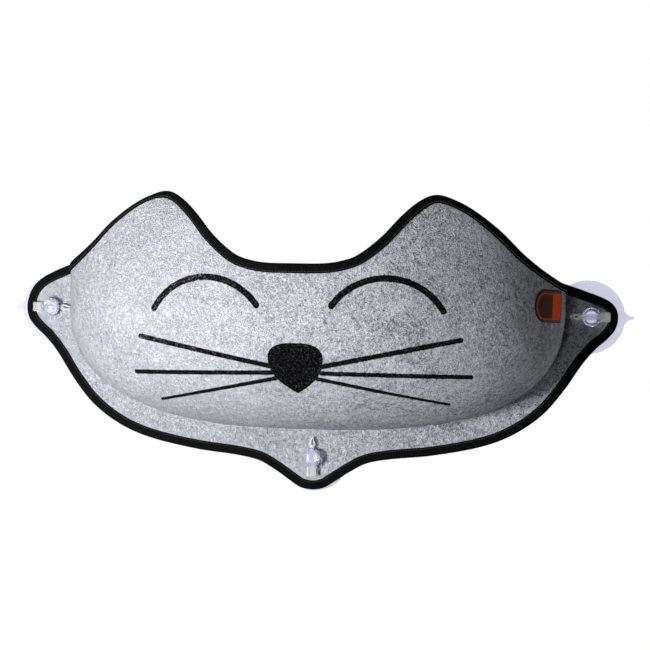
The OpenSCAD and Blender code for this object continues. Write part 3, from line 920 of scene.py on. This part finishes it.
def pouch_patches():
    """The pouch as patches of a grid, and the run of its lowest wall points beside the crease."""
    f = settings("perch_form")
    # Faces up each side and across the bottom, out from the middle, and up from the full width
    side, bottom, rings, rise = 30, 96, 32, 26
    # Half the width of the middle patch, as a share of the way to the crease
    middle = 0.5
    quarter = math.pi / 2
    turn = np.concatenate([
        np.linspace(0, 0.5, side + 1)[:-1], np.linspace(0.5, 1.5, bottom + 1),
        np.linspace(1.5, 2, side + 1)[1:],
    ]) * quarter
    # The wall's last row lies one crease radius in front of the flange
    top = pouch_depth(np.array(f.full_w_z))
    phi = np.full(len(turn), math.asin(f.crease_r / top))
    for _ in range(4):
        found = -low_pouch(turn, phi)[:, 1] - SHELL_FRONT
        phi = phi * f.crease_r / found
    edge = (1 - phi / quarter)[:, None] * np.stack([np.cos(turn), np.sin(turn)], 1)
    down = np.linspace(0, middle, side + 1)
    core = np.concatenate([
        np.stack([np.full(side, middle), down[:-1]], 1),
        np.stack([np.linspace(middle, -middle, bottom + 1), np.full(bottom + 1, middle)], 1),
        np.stack([np.full(side, -middle), down[::-1][1:]], 1),
    ])

    def place(p):
        """Points of the pouch for a half disc's, with its front at the middle and its crease at the edge."""
        rho = np.linalg.norm(p, axis=-1)
        return low_pouch(np.arctan2(p[..., 1], p[..., 0]), (1 - rho) * quarter)

    share = np.linspace(0, 1, rings + 1)[:, None, None]
    outer = place(core + (edge - core) * share)
    across = np.linspace(-middle, middle, bottom + 1)
    inner = place(np.stack(np.broadcast_arrays(across[None, :], down[:, None]), -1))
    # Above the full width the columns go straight up to the edge
    side_run = (core[0] + (edge[0] - core[0]) * share[:, 0])[:, 0]
    columns = np.concatenate([-side_run[::-1][:-1], across[:-1], side_run]) * quarter
    rim = rim_curve(16)
    tops = np.interp(columns, rim[:, 0], rim[:, 1])
    z = f.full_w_z + (tops - f.full_w_z) * np.linspace(0, 1, rise + 1)[:, None]
    upper = on_pouch(np.broadcast_to(columns, z.shape), z)
    wall = np.concatenate([upper[::-1, -1], outer[-1][1:-1], upper[:, 0]])
    return [grid(outer), grid(inner), grid(upper)], wall


def crease_patch(wall):
    """The rounded crease from the wall's last row to the flange, and its run on the flange."""
    f = settings("perch_form")
    run = tangents(wall[:, [0, 2]])
    out = np.stack([-run[:, 1], run[:, 0]], 1)
    depth = -wall[:, 1] - SHELL_FRONT
    rows = []
    for turn in np.linspace(0, math.pi / 2, 7):
        flat = wall[:, [0, 2]] + out * f.crease_r * (1 - math.cos(turn))
        rows.append(upright(flat, SHELL_FRONT + depth * (1 - math.sin(turn))))
    rows = np.array(rows)
    return grid(rows), rows[-1][:, [0, 2]]


def neck_holes():
    """Holes for the cups' necks, as loops in the plane."""
    r, sides = settings("perch_form").hole_r, 32
    last = 360 * (sides - 1) / sides
    return [np.array(arc((p.x, p.z), r, 0, last, sides - 1)) for p in CUP_PLACES.values()]


def front_shell():
    """The moulded front felt: pouch, rounded crease and flange in one skin."""
    f = settings("perch_form")
    patches, wall = pouch_patches()
    crease, foot = crease_patch(wall)
    outline = resampled(felt_outline(), f.cell, closed=True)[0]
    pouch_region = np.vstack([[foot[0, 0], f.ear_z], foot, [foot[-1, 0], f.ear_z]])
    points, faces = filled(outline, neck_holes(), f.cell, [pouch_region])
    middles = np.array([points[list(q)].mean(0) for q in faces])
    faces = [q for q, hidden in zip(faces, inside(middles, pouch_region)) if not hidden]
    points, faces = used(points, faces)
    points, faces = welded([*patches, crease, (upright(points, SHELL_FRONT), faces)])
    faces = turned_out(points, faces)
    edges = np.vstack([on_pouch(*rim_curve(16).T), upright(outline, SHELL_FRONT)])
    points = points + surface_normals(points, faces) * uneven(points, edges)[:, None]
    piece = made(
        "felt_front_shell", points, faces, "perch",
        [felt_material("printed_felt", True), felt_material("plain_felt", False)], ["front_shell"],
    )
    return thickened(piece, SHELL_T, 1)


def turned_out(points, faces):
    """The faces with their normals away from the inside of the pouch."""
    f = settings("perch_form")
    centre = np.array([0, 0, f.full_w_z])
    out = []
    for q in faces:
        a, b, c = points[q[0]], points[q[1]], points[q[2]]
        n = np.cross(b - a, c - a)
        out.append(q if n @ ((a + b + c) / 3 - centre) > 0 else q[::-1])
    return out


def back_panel():
    """The flat back felt with its three holes."""
    f = settings("perch_form")
    outline = resampled(felt_outline(), f.cell, closed=True)[0]
    points, faces = used(*filled(outline, neck_holes(), f.cell))
    points = upright(points, PANEL_FRONT)
    piece = made(
        "felt_back_panel", points, turned_out(points, faces), "perch",
        [felt_material("panel_felt", False)], ["back_panel"],
    )
    x, z = outline[:, 0], outline[:, 1]
    area = abs(float((x * np.roll(z, -1) - z * np.roll(x, -1)).sum() / 2))
    thickened(piece, SHELL_T)
    return piece


# Tapes and stitches

def tape_rings(origin, out, front, thickness, width, rise, shares):
    """The section of a folded tape at each station, as stations by section points."""
    rows = []
    for beyond, near_front, lift in shares:
        away = beyond * (width if beyond < 0 else rise)
        deep = (near_front - 1) * thickness + lift * rise
        rows.append(origin + out * away + front * np.asarray(deep).reshape(-1, 1))
    return np.stack(rows, 1)


def folded_tape(name, node, origin, out, front, thickness, width, rise, run, closed, material):
    """A tape folded over an edge. Each station has the edge's point on the front, the direction
    out of the felt, the direction of its front, the felt's thickness and the tape's width there."""
    shares = TAPE_OUTSIDE_SHARES + TAPE_INSIDE_SHARES
    rings = tape_rings(origin, out, front, thickness, width, rise, shares)
    stations, count = rings.shape[:2]
    uv = np.stack(np.broadcast_arrays(run[:, None], run_along(rings[0])[None, :]), -1).reshape(-1, 2)
    faces = []
    for i in range(stations if closed else stations - 1):
        here, there = i * count, (i + 1) % stations * count
        for k in range(count):
            m = (k + 1) % count
            faces.append((here + k, there + k, there + m, here + m))
    if not closed:
        last = (stations - 1) * count
        faces.append(tuple(range(count)))
        faces.append(tuple(last + k for k in reversed(range(count))))
    return made(name, rings.reshape(-1, 3), faces, "perch", [material], [node], uv)


def stitches(name, middles, along_run, up, length_, radius, slot, material):
    """A row of stitches, each a short thread that dips at both ends."""
    side = np.cross(along_run, up)
    points, faces, sides, rings = [], [], 6, len(STITCH_SHARES)
    for m, t, u, s in zip(middles, along_run, up, side):
        base = len(points)
        for place, height, thick in STITCH_SHARES:
            c = m + t * place * length_ + u * height * radius
            for k in range(sides):
                a = 2 * math.pi * k / sides
                points.append(c + (u * math.cos(a) + s * math.sin(a)) * thick * radius)
        for r in range(rings - 1):
            for k in range(sides):
                a, b = base + r * sides + k, base + r * sides + (k + 1) % sides
                faces.append((a, b, b + sides, a + sides))
        faces.append(tuple(base + k for k in reversed(range(sides))))
        faces.append(tuple(base + (rings - 1) * sides + k for k in range(sides)))
    return made(name, points, faces, "perch", [material])


def seam(origin, out, front, thickness, width, rise, step):
    """Middles, directions and ups of a tape's stitches, on its front and on its back."""
    t = settings("perch_tape")
    every = max(1, round(t.stitch_pitch / step))
    # Height of the tape's face along the seam
    lift = 0.82 * rise
    run = tangents(origin)
    face = origin - out * (width - t.stitch_in)
    front_row = face + front * lift
    back_row = face - front * (np.asarray(thickness).reshape(-1, 1) + lift)
    pick = slice(every // 2, len(origin), every)
    middles = np.vstack([front_row[pick], back_row[pick]])
    return middles, np.vstack([run[pick]] * 2), np.vstack([front[pick], -front[pick]])


def sewn_tape(name, node, fold, run, closed, material, thread):
    """A folded tape and the seam that holds it. fold is what the tape and the seam both follow."""
    t = settings("perch_tape")
    folded_tape(name, node, *fold, run, closed, material)
    stitches(name + "_stitches", *seam(*fold, run[1] - run[0]), t.stitch_l, t.thread_r, "tape", thread)


def edge_tape(material, thread):
    """The tape round both felts, and along the top edge round the back felt alone."""
    f, t = settings("perch_form"), settings("perch_tape")
    flat, run = resampled(felt_outline(), t.step, closed=True)
    way = tangents(flat, closed=True)
    out = np.stack([way[:, 1], 0 * run, -way[:, 0]], 1)
    # Behind the pouch, up to its two ends, the tape holds the back felt alone
    ends = (f.half_w - 0.006, f.half_w + 0.001)
    behind = (1 - eased(np.abs(flat[:, 0]), *ends)) * (flat[:, 1] > f.full_w_z)
    depth = SHELL_FRONT + (PANEL_FRONT - SHELL_FRONT) * behind
    front = np.tile([0.0, -1.0, 0.0], (len(flat), 1))
    width = np.full((len(flat), 1), t.width)
    fold = (upright(flat, depth), out, front, depth - PANEL_BACK, width, t.rise)
    sewn_tape("edge_tape", "edge_binding", fold, run, True, material, thread)


def rim_tape(material, thread):
    """The tape folded over the pouch's edge, over the ears and along the mouth."""
    f, t = settings("perch_form"), settings("perch_tape")
    # It stands a little above the edge tape where the two meet
    rise = t.rise + 0.00015
    # It starts where the pouch stands this far in front of the flange
    start_depth = 0.0026
    start = math.acos(start_depth / float(pouch_depth(np.array(f.join_z))))
    curve = rim_curve(24)
    curve = curve[np.abs(curve[:, 0]) < start]
    run = run_along(on_pouch(*curve.T))
    at = np.linspace(0, run[-1], round(run[-1] / t.step) + 1)
    angle, z = np.interp(at, run, curve[:, 0]), np.interp(at, run, curve[:, 1])
    origin = on_pouch(angle, z)
    front = pouch_normal(angle, z)
    out = unit(np.cross(front, tangents(origin)))
    turns, widths = smooth(RIM_TAPE_WIDTHS, 6).T
    width = np.interp(np.degrees(angle), turns, widths)[:, None]
    fold = (origin, out, front, SHELL_T, width, rise)
    sewn_tape("rim_tape", "rim_binding", fold, at, False, material, thread)


# Label

def label_outline(grow=0.0):
    """The label's outline as lengths round and up the pouch: its left end is round."""
    s = settings("perch_label")
    half_w, half_h, corner, step = s.width / 2, s.height / 2, 0.003, 0.0012
    left = arc((half_h - half_w, 0), half_h + grow, 90, 270, 24)
    low = arc((half_w - corner, corner - half_h), corner + grow, -90, 0, 5)
    high = arc((half_w - corner, half_h - corner), corner + grow, 0, 90, 5)
    return resampled(left + low + high, step, closed=True)[0]


def on_label(flat, lift):
    """Points over the pouch at the label, from lengths round and up it."""
    s = settings("perch_label")
    turn = 0.01
    ends = [on_pouch(np.array(s.angle + a), np.array(s.middle_z)) for a in (turn, -turn)]
    step = np.linalg.norm(ends[0] - ends[1])
    angle = s.angle + flat[:, 0] * 2 * turn / step
    height = s.middle_z + flat[:, 1]
    return on_pouch(angle, height) + pouch_normal(angle, height) * lift


def side_label():
    """The woven label on the pouch's right side, and the thread that holds it."""
    s, t = settings("perch_label"), settings("perch_tape")
    cell, inset, pitch, thread_share = 0.0022, 0.0013, 0.0021, 0.7
    flat, faces = used(*filled(label_outline(), [], cell))
    points = on_label(flat, s.gap + s.thickness)
    piece = made("woven_side_label", points, turned_out(points, faces), "perch",
                 [label_material()], ["side_label"], flat)
    thickened(piece, s.thickness)
    flat = resampled(label_outline(-inset), pitch, closed=True)[0]
    middles = on_label(flat, s.gap + s.thickness)
    outward = unit(on_label(flat, s.gap + 4 * s.thickness) - middles)
    stitches("label_stitches", middles, tangents(middles, closed=True), outward,
             t.stitch_l * thread_share, t.thread_r * thread_share, "label",
             thread_material("label_thread", s.border))


# Cups and pins

def lathed(profile, turns):
    """A closed solid turned about Z from a profile of radius and height."""
    profile = np.asarray(profile, float)
    angle = np.arange(turns) * 2 * math.pi / turns
    rings = np.stack([
        profile[None, :, 0] * np.cos(angle)[:, None],
        profile[None, :, 0] * np.sin(angle)[:, None],
        np.broadcast_to(profile[None, :, 1], (turns, len(profile))),
    ], -1)
    rings = np.concatenate([rings, rings[:1]])
    return welded([grid(rings)])


def extruded(outline, low, high):
    """A closed plate between two heights."""
    outline = np.asarray(outline, float)
    edges = [(i, (i + 1) % len(outline)) for i in range(len(outline))]
    flat, faces = triangulated(outline, edges, [outline], 1e-9)
    count = len(flat)
    out = []
    for q in faces:
        a, b, c = flat[list(q)]
        turn = (b[0] - a[0]) * (c[1] - a[1]) - (b[1] - a[1]) * (c[0] - a[0])
        out.append(tuple(q) if turn > 0 else tuple(reversed(q)))
    out = [q[::-1] for q in out] + [tuple(i + count for i in q) for q in out]
    out += [(a, b, b + count, a + count) for a, b in edges]
    heights = np.repeat([low, high], count)
    return np.column_stack([np.vstack([flat, flat]), heights]), out


def temporary(points, faces):
    """An object that is only used to cut or join another."""
    mesh = bpy.data.meshes.new("temporary")
    mesh.from_pydata([tuple(p) for p in points], [], [tuple(q) for q in faces])
    thing = bpy.data.objects.new("temporary", mesh)
    bpy.context.scene.collection.objects.link(thing)
    return thing


def combined(first, others):
    """Vertices and faces of the first solid after others are joined to it or cut from it."""
    base = temporary(*first)
    tools = []
    for operation, points, faces in others:
        tool = temporary(points, faces)
        step = base.modifiers.new(operation, "BOOLEAN")
        step.operation = operation
        step.solver = "EXACT"
        step.object = tool
        tools.append(tool)
    graph = bpy.context.evaluated_depsgraph_get()
    mesh = base.evaluated_get(graph).to_mesh()
    points = np.array([tuple(v.co) for v in mesh.vertices])
    faces = [tuple(p.vertices) for p in mesh.polygons]
    for thing in [*tools, base]:
        bpy.data.objects.remove(thing)
    return points, faces


def box_solid(low, high):
    """A plain box between two corners."""
    (a, b, c), (d, e, g) = low, high
    return extruded([(a, b), (d, b), (d, e), (a, e)], c, g)


def at_cup(points, body, turn):
    """Points drawn with Z out from the glass and the pin's grip towards +X, put in place."""
    matrix = (
        Matrix.Translation(CUP_PLACES[body])
        @ Matrix.Rotation(math.pi / 2, 4, "X")
        @ Matrix.Rotation(math.radians(turn), 4, "Z")
    )
    rotation, move = np.array(matrix.to_3x3()), np.array(matrix.translation)
    return np.asarray(points) @ rotation.T + move


def cup_solid():
    """One moulded suction cup: seal, bell, hub, slotted neck, knob and pull tab."""
    c = settings("perch_cup")
    knob_base = KNOB_TOP - c.knob_t
    edge = 0.0003
    bell = smooth([
        (c.rim_r - edge, c.rim_t), *[(s * c.rim_r, t * c.hub_h) for s, t in BELL_SHARES],
        (c.hub_r + edge, c.hub_h - 2 * edge),
    ], 5)
    seal_r = c.rim_r - c.seal_w
    hollow = smooth([(s * seal_r, t * c.hollow_h) for s, t in HOLLOW_SHARES], 4)
    knob = smooth([
        (c.neck_r + edge, knob_base),
        *[(s * c.knob_r, knob_base + t * c.knob_t) for s, t in KNOB_SIDE_SHARES],
        *[(s * c.knob_r, KNOB_TOP - t * c.dish) for s, t in KNOB_FACE_SHARES],
    ], 4)
    profile = [
        *hollow, (c.rim_r - edge, 0), (c.rim_r, edge), (c.rim_r, c.rim_t - edge), *bell,
        (c.hub_r, c.hub_h), (c.neck_r, c.hub_h), (c.neck_r, knob_base), *knob,
    ]
    half_tab = smooth([
        (c.rim_r - c.seal_w / 2, 0.5 * c.tab_w),
        *[(c.rim_r + s * c.tab_l, t * c.tab_w) for s, t in TAB_SHARES],
    ], 4)
    tab = np.vstack([half_tab, (half_tab * (1, -1))[::-1]])[::-1]
    slot_low = (-2 * c.neck_r, -c.slot_w / 2, PIN_DEPTH - c.slot_t / 2)
    slot_high = (2 * c.neck_r, c.slot_w / 2, PIN_DEPTH + c.slot_t / 2)
    return combined(lathed(profile, c.turns), [
        ("UNION", *extruded(tab, c.tab_lift, c.tab_lift + c.tab_t)),
        ("DIFFERENCE", *box_solid(slot_low, slot_high)),
    ])


def softened(piece, radius=0.0):
    """Sharp edges of a hard piece: rounded if it has a radius, and shaded as edges."""
    sharp = math.radians(35)
    if radius:
        bevel = piece.modifiers.new("Rounded edges", "BEVEL")
        bevel.width = radius
        bevel.segments = 2
        bevel.limit_method = "ANGLE"
        bevel.angle_limit = sharp
        bevel.harden_normals = True
    piece.data.set_sharp_from_angle(angle=sharp)


def rounded_box(half_l, half_w, corner, middle_x):
    """A rounded rectangle as a loop."""
    loop = []
    for sx, sy, start in ((1, -1, -90), (1, 1, 0), (-1, 1, 90), (-1, -1, 180)):
        centre = (middle_x + sx * (half_l - corner), sy * (half_w - corner))
        loop += arc(centre, corner, start, start + 90, 5)
    return loop


def pin_solid():
    """One locking pin: grip block with a recess on each face, shank, and split barb."""
    p = settings("perch_pin")
    mid = p.grip_start + p.grip_l / 2
    corner = 0.16 * p.grip_w
    under, over = PIN_DEPTH - p.shank_t / 2, PIN_DEPTH + p.shank_t / 2
    block = extruded(rounded_box(p.grip_l / 2, p.grip_w / 2, corner, mid),
                     PIN_DEPTH - p.grip_t / 2, PIN_DEPTH + p.grip_t / 2)
    # The shank reaches a little into the barb and into the grip
    shank = box_solid((-p.barb_start - 0.001, -p.shank_w / 2, under),
                      (p.grip_start + corner, p.shank_w / 2, over))
    half = [(-p.barb_start - s * p.barb_l, w * p.barb_w / 2) for s, w in BARB_SHARES]
    barb = half + [(x, -y) for x, y in reversed(half)]
    slit_w, narrowed = 0.15 * p.barb_w, 0.6
    near, far = (-p.barb_start - s * p.barb_l for s in (0.16, 0.80))
    slit = [(near, -slit_w), (near, slit_w), (far, slit_w * narrowed), (far, -slit_w * narrowed)]
    recess = rounded_box(0.25 * p.grip_l, 0.25 * p.grip_w, 0.06 * p.grip_w, mid)
    deep = 0.18 * p.grip_t
    faces = [PIN_DEPTH + side * p.grip_t / 2 for side in (-1, 1)]
    return combined(block, [
        ("UNION", *shank), ("UNION", *extruded(barb, under, over)),
        *[("DIFFERENCE", *extruded(recess, face - deep, face + deep)) for face in faces],
        ("DIFFERENCE", *extruded(slit, PIN_DEPTH - p.shank_t, PIN_DEPTH + p.shank_t)),
    ])


# Operators

class Built:
    """What the perch's operators share."""

    bl_options = {"REGISTER", "UNDO"}


class PERCH_OT_felts(Built, bpy.types.Operator):
    """Builds the back felt and the moulded front felt"""

    bl_idname = "perch.felts"
    bl_label = "Felts"

    def execute(self, context):
        back_panel()
        front_shell()
        return {"FINISHED"}


class PERCH_OT_tapes(Built, bpy.types.Operator):
    """Builds the two tapes and their stitches"""

    bl_idname = "perch.tapes"
    bl_label = "Tapes"

    def execute(self, context):
        material = tape_material()
        thread = thread_material("black_thread", settings("perch_tape").thread)
        edge_tape(material, thread)
        rim_tape(material, thread)
        return {"FINISHED"}


class PERCH_OT_label(Built, bpy.types.Operator):
    """Builds the woven side label"""

    bl_idname = "perch.label"
    bl_label = "Label"

    def execute(self, context):
        side_label()
        return {"FINISHED"}


class PERCH_OT_cups(Built, bpy.types.Operator):
    """Builds the three suction cups"""

    bl_idname = "perch.cups"
    bl_label = "Suction cups"

    def execute(self, context):
        material = clear_material("clear_soft_plastic", settings("perch_cup").tint, 0.07, 0.82)
        points, faces = cup_solid()
        for side, turn in (("left", 180), ("right", 0), ("bottom", 90)):
            body = side + "_cup"
            piece = made("clear_cup_" + side, at_cup(points, body, turn), faces, body,
                         [material], ["suction_cup_" + side])
            softened(piece)
        return {"FINISHED"}


class PERCH_OT_pins(Built, bpy.types.Operator):
    """Builds the three locking pins"""

    bl_idname = "perch.pins"
    bl_label = "Locking pins"

    def execute(self, context):
        p = settings("perch_pin")
        material = clear_material("clear_hard_plastic", p.tint, 0.05, 0.72)
        points, faces = pin_solid()
        for side, turn in (("left", 180), ("right", 0), ("bottom", -90)):
            placed = at_cup(points, side + "_cup", turn)
            piece = made("clear_pin_" + side, placed, faces, side + "_pin",
                         [material], ["locking_pin_" + side])
            softened(piece, p.edge_r)
        return {"FINISHED"}


class PERCH_OT_stage(Built, bpy.types.Operator):
    """Builds the floor, the lamps, the world and the camera"""

    bl_idname = "perch.stage"
    bl_label = "Stage"

    def execute(self, context):
        context.scene.view_settings.view_transform = "Standard"
        build_floor()
        build_world()
        s = settings("perch_stage")
        # Power, degrees round to the right and up from the front, distance and width of each lamp
        build_spot("key_lamp", s.key, -30, -9, s.key_distance, 0.22)
        build_spot("side_lamp", s.side, 105, -27, 2.0, 0.4)
        build_spot("fill_lamp", s.fill, -12, -12, 2.0, 0.3)
        build_spot("back_lamp", s.back, 170, 42, 1.6, 0.6)
        build_spot("top_lamp", s.top, 180, 76, 1.5, 0.6)
        build_camera()
        return {"FINISHED"}


def build_floor():
    """A pale floor well below the perch."""
    s = settings("perch_stage")
    half, glow_strength = 30.0, 0.985
    corners = [(x * half, y * half, s.floor_z) for x, y in ((-1, -1), (1, -1), (1, 1), (-1, 1))]
    mesh = bpy.data.meshes.new("floor")
    mesh.from_pydata(corners, [], [(0, 1, 2, 3)])
    floor = bpy.data.objects.new("floor", mesh)
    bpy.context.scene.collection.objects.link(floor)
    material, tree = new_material("pale_floor")
    diffuse = add_node(tree, "ShaderNodeBsdfDiffuse", {}, {"Color": (0.7, 0.7, 0.7, 1)})
    glow = add_node(tree, "ShaderNodeEmission", {}, {
        "Color": (1, 1, 1, 1), "Strength": background_rays(tree) * glow_strength,
    })
    shown(add_node(tree, "ShaderNodeAddShader", {}, {0: diffuse, 1: glow}))
    mesh.materials.append(material)


def background_rays(tree):
    """1 for the rays that should see a white background."""
    return most(*[
        add_node(tree, "ShaderNodeLightPath", {}, {}, name)
        for name in ("Is Camera Ray", "Is Glossy Ray", "Is Transmission Ray")
    ])


def build_world():
    """White where it is seen, and a plain soft light all round."""
    s = settings("perch_stage")
    world = bpy.data.worlds.new("studio")
    bpy.context.scene.world = world
    world.use_nodes = True
    tree = world.node_tree
    tree.nodes.clear()
    strength = background_rays(tree) * (1 - s.ambient) + s.ambient
    sky = add_node(tree, "ShaderNodeBackground", {}, {"Color": (1, 1, 1, 1), "Strength": strength})
    shown(sky, "ShaderNodeOutputWorld")


def build_spot(name, power, around, up, distance_, size):
    """A soft lamp near the perch that shines at the target.

    around and up are in degrees: 0 and 0 stand straight in front, and 90 round is at the right."""
    lamp = bpy.data.lights.new(name, "SPOT")
    lamp.shadow_soft_size = size / 2
    lamp.spot_size = math.radians(80)
    lamp.spot_blend = 0.3
    lamp.energy = power
    azimuth, elevation = math.radians(around), math.radians(up)
    level = math.cos(elevation)
    back = Vector((math.sin(azimuth) * level, -math.cos(azimuth) * level, math.sin(elevation)))
    holder = bpy.data.objects.new(name, lamp)
    holder.rotation_mode = "QUATERNION"
    holder.rotation_quaternion = (-back).to_track_quat("-Z", "Y")
    holder.location = Vector(settings("perch_stage").target) + back * distance_
    bpy.context.scene.collection.objects.link(holder)


def build_camera():
    """The camera at the photograph's angle, a little rolled."""
    s = settings("perch_stage")
    camera = bpy.data.cameras.new("camera")
    camera.lens = s.lens
    camera.sensor_width = 36.0
    holder = bpy.data.objects.new("camera", camera)
    back = Vector((math.sin(s.azimuth), -math.cos(s.azimuth), 0))
    right = Vector((math.cos(s.azimuth), math.sin(s.azimuth), 0))
    up = Vector((0, 0, 1))
    x = right * math.cos(s.roll) + up * math.sin(s.roll)
    y = up * math.cos(s.roll) - right * math.sin(s.roll)
    place = Vector(s.target) + back * s.distance
    holder.matrix_world = Matrix((*zip(x, y, back, place), (0, 0, 0, 1)))
    bpy.context.scene.collection.objects.link(holder)
    bpy.context.scene.camera = holder


class PERCH_PT_panel(bpy.types.Panel):
    """Lists the perch's sizes, colours and pieces"""

    bl_idname = "PERCH_PT_panel"
    bl_label = "Window perch"
    bl_space_type = "VIEW_3D"
    bl_region_type = "UI"
    bl_category = "Perch"

    def draw(self, context):
        layout = self.layout
        for name, group in GROUPS.items():
            box = layout.box()
            box.label(text=group.__doc__)
            for key in group.__annotations__:
                box.prop(getattr(context.scene, name), key)
        for operator in OPERATORS:
            layout.operator(operator.bl_idname)


OPERATORS = [
    PERCH_OT_felts, PERCH_OT_tapes, PERCH_OT_label, PERCH_OT_cups, PERCH_OT_pins, PERCH_OT_stage,
]


def register():
    """Adds the properties, operators and panel to Blender."""
    for kind in [*GROUPS.values(), *OPERATORS, PERCH_PT_panel]:
        bpy.utils.register_class(kind)
    for name, group in GROUPS.items():
        setattr(bpy.types.Scene, name, PointerProperty(type=group))


def unregister():
    """Takes them out again."""
    for name in GROUPS:
        delattr(bpy.types.Scene, name)
    for kind in reversed([*GROUPS.values(), *OPERATORS, PERCH_PT_panel]):
        bpy.utils.unregister_class(kind)


def main():
    """Builds everything."""
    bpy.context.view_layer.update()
    register()
    bpy.ops.perch.felts()
    bpy.ops.perch.tapes()
    bpy.ops.perch.label()
    bpy.ops.perch.cups()
    bpy.ops.perch.pins()
    bpy.ops.perch.stage()
    bpy.context.view_layer.update()


if __name__ == "__main__":
    main()
